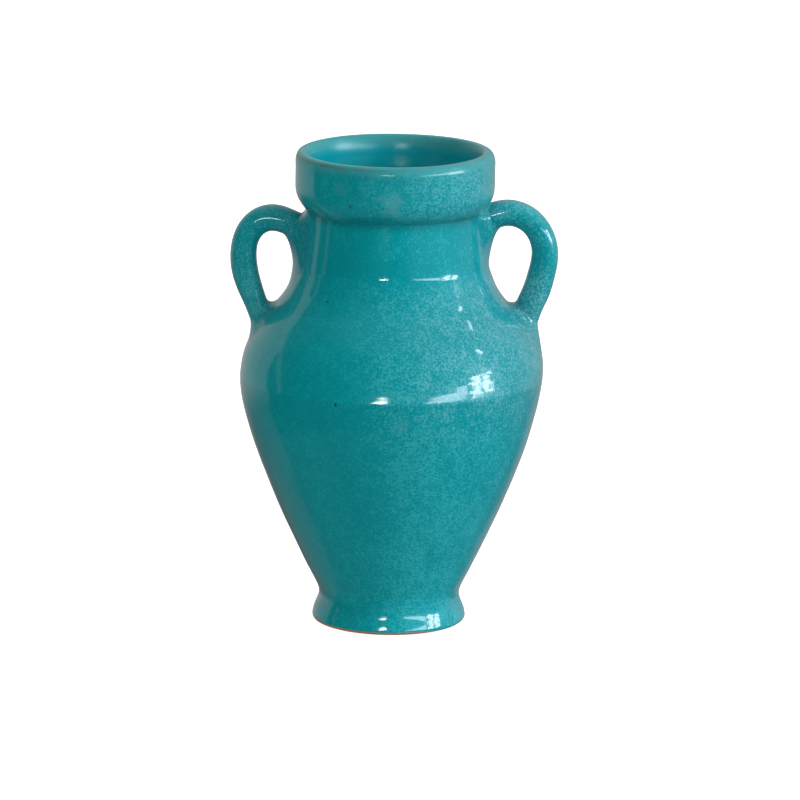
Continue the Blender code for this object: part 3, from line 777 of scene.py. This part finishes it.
def glaze_material():
    t = Tree("turquoise_glaze")
    co = t.coords()
    where = t.node("ShaderNodeSeparateXYZ")
    t.put(where, 0, co)
    at_x, at_z = where.outputs[0], where.outputs[2]
    # milky flecks in a clear deep glaze, two sizes, gathered into clouds of several sizes
    fleck = t.noise(co, 690.0, 3.0, 0.6)
    fine = t.noise(co, 1500.0, 1.0, 0.5)
    clump = t.noise(co, 125.0, 2.0, 0.6, 0.3)
    patch = t.noise(co, 270.0, 2.0, 0.6)
    cloud = t.noise(t.stretch(co, (1.0, 1.0, 0.8)), 34.0, 3.0, 0.6, 0.4)
    broad = t.noise(t.stretch(co, (1.0, 1.0, 0.6)), 12.0, 2.0, 0.5)
    streak = t.noise(t.stretch(co, (1.0, 1.0, 0.09)), 230.0, 2.0, 0.5)
    f = t.math("ADD", t.math("MULTIPLY", fleck, 0.60), t.math("MULTIPLY", fine, 0.40))
    shift = t.math("ADD", t.ramp(cloud, 0.34, 0.66, -0.022, 0.022), t.ramp(broad, 0.34, 0.66, -0.012, 0.012))
    shift = t.math("ADD", shift, t.ramp(clump, 0.34, 0.66, -0.024, 0.024))
    grip = t.attribute("grip")
    shift = t.math("ADD", shift, t.math("MULTIPLY", grip, 0.022))
    shift = t.math("ADD", shift, t.ramp(patch, 0.34, 0.66, -0.018, 0.018))
    shift = t.math("ADD", shift, t.ramp(streak, 0.35, 0.65, -0.008, 0.008))
    # a darker band below the belly seam: glaze gathered under the ridge, and painted shade there
    under_seam_shade = t.math("MULTIPLY", t.ramp(at_z, 0.134, 0.146), t.ramp(at_z, 0.156, 0.160, 1.0, 0.0))
    shift = t.math("SUBTRACT", shift, t.math("MULTIPLY", under_seam_shade, 0.022))
    # painted shade: the whole neck darker, under the collar
    neck_shade = t.math("MULTIPLY", t.ramp(at_z, 0.218, 0.232), t.ramp(at_z, 0.258, 0.264, 1.0, 0.0))
    shift = t.math("SUBTRACT", shift, t.math("MULTIPLY", neck_shade, 0.058))
    f = t.math("ADD", f, shift)
    # inside the mouth the milky flecks fade almost away: painted shade in the interior
    milky = t.math("MULTIPLY", t.ramp(f, 0.425, 0.635), t.ramp(t.attribute("clear"), 0.0, 1.0, 1.0, 0.12))
    # painted light: the milky flecks paler and warmer towards +X, the side the window light falls on
    side = t.ramp(t.math("ADD", at_x, t.ramp(broad, 0.3, 0.7, -0.015, 0.015)), -0.060, 0.075)
    light = t.mix(side, (0.004, 0.390, 0.418, 1.0), (0.040, 0.462, 0.500, 1.0))
    # painted sheen: whitest on the +X side of the shoulder and the collar, where the window light falls; the handles
    # paler too
    painted_sheen_zone = t.math("MAXIMUM", t.math("MULTIPLY", t.ramp(at_z, 0.120, 0.170), t.ramp(at_z, 0.216, 0.232, 1.0, 0.0)), t.math("MULTIPLY", t.ramp(at_z, 0.262, 0.270), 0.7))
    white = t.math("MAXIMUM", t.math("MULTIPLY", t.math("MULTIPLY", t.ramp(at_x, -0.035, 0.070), painted_sheen_zone), 0.78), t.math("MULTIPLY", grip, 0.30))
    light = t.mix(white, light, (0.190, 0.490, 0.520, 1.0))
    # painted shade inside the mouth: the deep colour paler just under the lip and darker further down
    deep = t.mix(t.attribute("clear"), (0.0, 0.308, 0.348, 1.0), t.mix(t.ramp(at_z, 0.276, 0.291), (0.0, 0.285, 0.330, 1.0), (0.0, 0.355, 0.405, 1.0)))
    colour = t.mix(milky, deep, light)
    # painted reflections: soft pale patches on the collar's front, and one lower on the front of the belly
    for spot, radius, amount in (((-0.0020, -0.0620, 0.2768), 0.0085, 0.40), ((0.0030, -0.0620, 0.2705), 0.0035, 0.30),
                                 ((-0.0330, -0.0530, 0.2850), 0.0050, 0.12), ((0.0060, -0.0950, 0.1440), 0.0075, 0.20)):
        far = t.node("ShaderNodeVectorMath", operation="DISTANCE")
        t.put(far, 0, co)
        t.put(far, 1, spot)
        painted_reflection = t.ramp(t.math("ADD", far.outputs["Value"], t.math("MULTIPLY", t.math("SUBTRACT", t.math("ADD", clump, patch), 1.0), 0.013)), radius * 0.2, radius, 1.0, 0.0)
        colour = t.mix(t.math("MULTIPLY", painted_reflection, amount), colour, (0.130, 0.440, 0.465, 1.0))
    # thicker glaze where it gathered, darkened as painted shade in the crease under the collar and in the corners at
    # the handle roots
    pool_and_shade = t.attribute("pool_and_shade")
    colour = t.mix(t.math("MULTIPLY", pool_and_shade, 0.6), colour, (0.0, 0.130, 0.150, 1.0))
    # thinner glaze on the rolled lip; greyer there and along the outside of the handles as painted sky reflection on
    # surfaces that face up
    edge_noise = t.noise(co, 260.0, 3.0, 0.6)
    edge_sheen = t.attribute("edge_sheen")
    edge_sheen_amount = t.math("MULTIPLY", edge_sheen, t.ramp(edge_noise, 0.25, 0.75, 0.55, 0.95))
    colour = t.mix(edge_sheen_amount, colour, (0.058, 0.345, 0.350, 1.0))
    thin = t.attribute("thin")
    worn = t.ramp(t.math("ADD", thin, t.math("MULTIPLY", t.math("SUBTRACT", edge_noise, 0.5), 0.8)), 0.30, 0.95)
    colour = t.mix(t.math("MULTIPLY", worn, 0.60), colour, t.mix(t.ramp(edge_noise, 0.50, 0.72), srgb(78, 96, 82), srgb(112, 92, 72)))
    # specks of iron and pinholes, a few of them larger
    speck_d = t.voronoi(co, 46.0)
    speck_c = t.voronoi(co, 46.0, output="Color")
    pick = t.node("ShaderNodeSeparateColor")
    t.put(pick, 0, speck_c)
    chosen = t.math("GREATER_THAN", pick.outputs[0], 0.92)
    size = t.ramp(pick.outputs[1], 0.0, 1.0, 0.012, 0.030, smooth=False)
    speck = t.math("MULTIPLY", chosen, t.math("LESS_THAN", speck_d, size))
    for spot, radius in (((-0.0340, -0.0895, 0.1565), 0.0010), ((-0.0173, -0.0604, 0.2918), 0.0010),
                         ((-0.0267, -0.0562, 0.2739), 0.0009), ((-0.0399, -0.0523, 0.2136), 0.0009)):
        away = t.node("ShaderNodeVectorMath", operation="DISTANCE")
        t.put(away, 0, t.stretch(co, (1.0, 1.0, 0.6)))
        t.put(away, 1, (spot[0], spot[1], spot[2] * 0.6))
        speck = t.math("MAXIMUM", speck, t.ramp(away.outputs["Value"], radius * 0.5, radius, 1.0, 0.0))
    colour = t.mix(t.math("MULTIPLY", speck, 0.80), colour, srgb(14, 62, 60))
    # bare clay with a ragged glaze line
    bare = t.ramp(t.math("ADD", t.attribute("bare"), t.math("MULTIPLY", t.math("SUBTRACT", edge_noise, 0.5), 0.5)), 0.42, 0.58)
    clay = t.mix(t.noise(co, 420.0, 3.0, 0.6), srgb(168, 112, 80), srgb(204, 148, 112))
    colour = t.mix(bare, colour, clay)
    t.put(t.bsdf, "Base Color", colour)
    rough = t.ramp(f, 0.38, 0.66, 0.32, 0.45)
    rough = t.math("ADD", rough, t.math("MULTIPLY", bare, 0.4))
    t.put(t.bsdf, "Roughness", t.math("ADD", rough, t.math("MULTIPLY", worn, 0.10), clamp=True))
    t.put(t.bsdf, "IOR", 1.45)
    t.put(t.bsdf, "Specular IOR Level", 0.20)
    t.put(t.bsdf, "Specular Tint", (0.10, 0.90, 1.0, 1.0))
    t.put(t.bsdf, "Coat Weight", t.math("MULTIPLY", t.math("SUBTRACT", 1.0, bare), t.math("SUBTRACT", 1.0, t.math("MULTIPLY", t.math("MAXIMUM", edge_sheen, worn), 0.30))))
    t.put(t.bsdf, "Coat Roughness", t.math("ADD", t.ramp(edge_sheen, 0.0, 1.0, 0.075, 0.19), t.ramp(t.attribute("clear"), 0.0, 1.0, 0.0, 0.14)))
    t.put(t.bsdf, "Coat IOR", 1.5)
    # a skin that is not quite flat: long lazy waves, orange peel, and a pit under each speck
    wave = t.noise(co, 70.0, 1.0, 0.35)
    peel = t.noise(co, 300.0, 2.0, 0.5)
    grain = t.noise(co, 2200.0, 2.0, 0.6)
    n = t.bump(wave, 0.00008)
    n = t.bump(peel, 0.000016, normal=n)
    n = t.bump(t.math("MULTIPLY", grain, bare), 0.00025, normal=n)
    n = t.bump(t.math("SUBTRACT", 1.0, speck), 0.00020, normal=n)
    t.put(t.bsdf, "Normal", n)
    t.put(t.bsdf, "Coat Normal", n)
    return t.mat


GLAZE = glaze_material()
for piece in pieces.values():
    piece.data.materials.append(GLAZE)


# ------------------------------------------------------------------ stage and light
def plane(name, corners, material):
    mesh = bpy.data.meshes.new(name)
    mesh.from_pydata([tuple(c) for c in corners], [], [tuple(range(len(corners)))])
    mesh.materials.append(material)
    ob = bpy.data.objects.new(name, mesh)
    bpy.context.scene.collection.objects.link(ob)
    return ob


def flat_material(name, colour, rough=0.6):
    m = bpy.data.materials.new(name)
    m.use_nodes = True
    b = m.node_tree.nodes["Principled BSDF"]
    b.inputs["Base Color"].default_value = colour
    b.inputs["Roughness"].default_value = rough
    b.inputs["Specular IOR Level"].default_value = 0.2
    return m


floor_mat = flat_material("floor_white", (0.55, 0.55, 0.55, 1), 0.9)
floor_mat.node_tree.nodes["Principled BSDF"].inputs["Emission Color"].default_value = (1, 1, 1, 1)
floor_mat.node_tree.nodes["Principled BSDF"].inputs["Emission Strength"].default_value = 0.85
floor_mat.cycles.emission_sampling = "NONE"
floor = plane("floor", [(-6, -6, -0.0001), (6, -6, -0.0001), (6, 6, -0.0001), (-6, 6, -0.0001)], floor_mat)
floor.visible_glossy = False          # the glaze mirrors the room below instead
floor.visible_diffuse = False


def sun(name, azimuth, elevation, strength, spread, colour=(1, 1, 1)):
    """Soft light from that azimuth (0 = front, 90 = right) and elevation; adds no highlight."""
    data = bpy.data.lights.new(name, "SUN")
    data.energy = strength
    data.angle = math.radians(spread)
    data.color = colour
    ob = bpy.data.objects.new(name, data)
    bpy.context.scene.collection.objects.link(ob)
    az, el = math.radians(azimuth), math.radians(elevation)
    toward = Vector((math.sin(az) * math.cos(el), -math.cos(az) * math.cos(el), math.sin(el)))
    ob.rotation_euler = toward.to_track_quat("Z", "Y").to_euler()
    ob.visible_glossy = False
    return ob


sun("key", 68.0, 24.0, 2.45, 50.0, (0.94, 0.99, 1.07))
sun("fill_left", -70.0, 10.0, 0.52, 110.0, (1.0, 1.0, 0.96))
sun("fill_front", -5.0, 5.0, 0.75, 120.0)
sun("fill_top", 0.0, 85.0, 0.75, 120.0)
sun("fill_low", 0.0, -60.0, 0.92, 120.0)
sun("fill_back", 180.0, 20.0, 1.40, 110.0)


# the room, which the glaze mirrors: dark in front, a pale wall left and behind, windows at the right
world = bpy.data.worlds.new("room")
bpy.context.scene.world = world
world.use_nodes = True
world.cycles_visibility.diffuse = False
wn = world.node_tree


def w_math(op, a, b=0.0, c=None):
    n = wn.nodes.new("ShaderNodeMath")
    n.operation = op
    for k, v in enumerate((a, b) if c is None else (a, b, c)):
        if hasattr(v, "is_output"):
            wn.links.new(v, n.inputs[k])
        else:
            n.inputs[k].default_value = v
    return n.outputs[0]


def w_step(value, lo, hi):
    n = wn.nodes.new("ShaderNodeMapRange")
    n.interpolation_type = "SMOOTHSTEP"
    wn.links.new(value, n.inputs["Value"])
    n.inputs["From Min"].default_value, n.inputs["From Max"].default_value = lo, hi
    return n.outputs["Result"]


w_co = wn.nodes.new("ShaderNodeTexCoord").outputs["Generated"]
w_sep = wn.nodes.new("ShaderNodeSeparateXYZ")
wn.links.new(w_co, w_sep.inputs[0])
wx, wy, wz = w_sep.outputs
w_az = w_math("MULTIPLY", w_math("ARCTAN2", wx, w_math("MULTIPLY", wy, -1.0)), 180.0 / math.pi)
w_el = w_math("MULTIPLY", w_math("ARCSINE", wz), 180.0 / math.pi)


def patch(az0, az1, el0, el1, soft_az=3.0, soft_el=2.0):
    """1 inside a window of directions, fading over the soft widths."""
    m = w_math("MULTIPLY", w_step(w_az, az0 - soft_az, az0 + soft_az),
               w_math("SUBTRACT", 1.0, w_step(w_az, az1 - soft_az, az1 + soft_az)))
    m = w_math("MULTIPLY", m, w_step(w_el, el0 - soft_el, el0 + soft_el))
    return w_math("MULTIPLY", m, w_math("SUBTRACT", 1.0, w_step(w_el, el1 - soft_el, el1 + soft_el)))


w_noise = wn.nodes.new("ShaderNodeTexNoise")
wn.links.new(w_co, w_noise.inputs["Vector"])
w_noise.inputs["Scale"].default_value = 13.0
w_noise.inputs["Detail"].default_value = 3.0
leaves = w_step(w_noise.outputs["Fac"], 0.40, 0.47)
# positions on the wall to the right, one unit away: along it and up it
wall_x = w_math("MAXIMUM", wx, 0.02)
wall_u = w_math("DIVIDE", w_math("MULTIPLY", wy, -1.0), wall_x)
wall_v = w_math("DIVIDE", wz, wall_x)


def pane(u0, u1, v0, v1, soft=0.02):
    """1 inside a rectangle on the right-hand wall."""
    m = w_math("MULTIPLY", w_step(wall_u, u0 - soft, u0 + soft),
               w_math("SUBTRACT", 1.0, w_step(wall_u, u1 - soft, u1 + soft)))
    m = w_math("MULTIPLY", m, w_step(wall_v, v0 - soft, v0 + soft))
    m = w_math("MULTIPLY", m, w_math("SUBTRACT", 1.0, w_step(wall_v, v1 - soft, v1 + soft)))
    return w_math("MULTIPLY", m, w_step(wx, 0.05, 0.10))


def below(value, limit, soft):
    """1 where value is under the limit."""
    return w_math("SUBTRACT", 1.0, w_step(value, limit - soft, limit + soft))


# edges of the pale wall at the left lean over above eye level; the table's front edge dips in the middle
wall_edge = w_math("ADD", w_az, w_math("MULTIPLY", w_math("MAXIMUM", w_math("SUBTRACT", w_el, 24.0), 0.0), 1.3))
post_edge = w_math("ADD", w_az, w_math("MULTIPLY", w_math("MAXIMUM", w_math("SUBTRACT", w_el, 6.0), 0.0), 0.85))
table_edge = w_math("SUBTRACT", w_el, w_math("MULTIPLY", w_math("ABSOLUTE", w_az), 0.11))
lamp_x = w_math("DIVIDE", w_math("ADD", w_az, 9.1), 6.3)
lamp_y = w_math("DIVIDE", w_math("SUBTRACT", w_el, 9.2), 1.9)
lamp = below(w_math("ADD", w_math("MULTIPLY", lamp_x, lamp_x), w_math("MULTIPLY", lamp_y, lamp_y)), 0.9, 0.25)
haze = w_step(w_noise.outputs["Fac"], 0.38, 0.62)

glows = []                       # (mask, strength, colour)
glows.append((patch(-400, 400, -91, 91), 0.007, (1.0, 1.0, 1.0)))
glows.append((w_math("MULTIPLY", below(wall_edge, -108.0, 1.5), patch(-400, 400, -16, 58, 3, 6)), 0.44, (1.0, 0.99, 0.97)))
glows.append((w_math("MULTIPLY", below(wall_edge, -108.0, 3.0), patch(-400, 400, -66, -16, 3, 6)), 0.11, (1.0, 0.99, 0.97)))
glows.append((w_math("MULTIPLY", w_math("SUBTRACT", below(post_edge, -90.0, 1.0), below(post_edge, -95.0, 1.0)),
                     patch(-400, 400, -6, 30, 3, 4)), 0.26, (1.0, 0.99, 0.97)))
glows.append((patch(128, 400, -16, 58, 10, 6), 0.34, (0.95, 0.98, 1.0)))
glows.append((patch(121, 126, -14, 34, 1.5, 4), 0.25, (0.95, 0.98, 1.0)))
glows.append((patch(-400, 400, 52, 95, 3, 8), 0.16, (1.0, 1.0, 1.0)))
glows.append((patch(150, 400, -60, -16, 12, 6), 0.30, (1.0, 0.99, 0.97)))
glows.append((below(table_edge, -42.0, 1.3), 0.045, (1.0, 0.98, 0.95)))
glows.append((w_math("MULTIPLY", patch(-42, 6, -17, -4, 6, 2), haze), 0.13, (1.0, 1.0, 1.0)))
glows.append((patch(20, 128, -24, 44, 12, 10), 0.20, (0.90, 0.96, 1.0)))
glows.append((patch(84, 134, -20, 44, 14, 10), 0.20, (0.90, 0.96, 1.0)))
glows.append((w_math("MULTIPLY", pane(0.58, 2.1, 0.105, 0.290, 0.012), w_step(w_el, 5.0, 6.2)), 9.5, (0.80, 0.86, 1.0)))
glows.append((w_math("MULTIPLY", pane(0.09, 0.54, 0.065, 0.33, 0.012), leaves), 16.0, (0.90, 0.93, 1.0)))
glows.append((patch(105, 109, 46.2, 47.5, 0.8, 0.5), 12.0, (0.9, 0.96, 1.0)))
glows.append((patch(40, 125, 48, 72, 16, 8), 0.25, (0.95, 0.98, 1.0)))
glows.append((patch(85.5, 90, 33.5, 39.5, 0.8, 0.6), 12.0, (0.9, 0.96, 1.0)))
glows.append((patch(78, 82, 20, 22, 0.8, 0.8), 4.0, (0.9, 0.96, 1.0)))
glows.append((lamp, 26.0, (1.0, 0.98, 0.95)))

w_total = None
for mask, strength, colour in glows:
    bg = wn.nodes.new("ShaderNodeBackground")
    bg.inputs["Color"].default_value = (*colour, 1.0)
    wn.links.new(w_math("MULTIPLY", mask, strength), bg.inputs["Strength"])
    if w_total is None:
        w_total = bg.outputs[0]
    else:
        add = wn.nodes.new("ShaderNodeAddShader")
        wn.links.new(w_total, add.inputs[0])
        wn.links.new(bg.outputs[0], add.inputs[1])
        w_total = add.outputs[0]
w_out = [n for n in wn.nodes if n.type == "OUTPUT_WORLD"][0]
wn.links.new(w_total, w_out.inputs["Surface"])
world.cycles.sampling_method = "MANUAL"
world.cycles.sample_map_resolution = 1024

scene = bpy.context.scene
scene.view_settings.view_transform = "Standard"
scene.view_settings.look = "None"
scene.view_settings.exposure = 0.0
scene.view_settings.gamma = 1.0
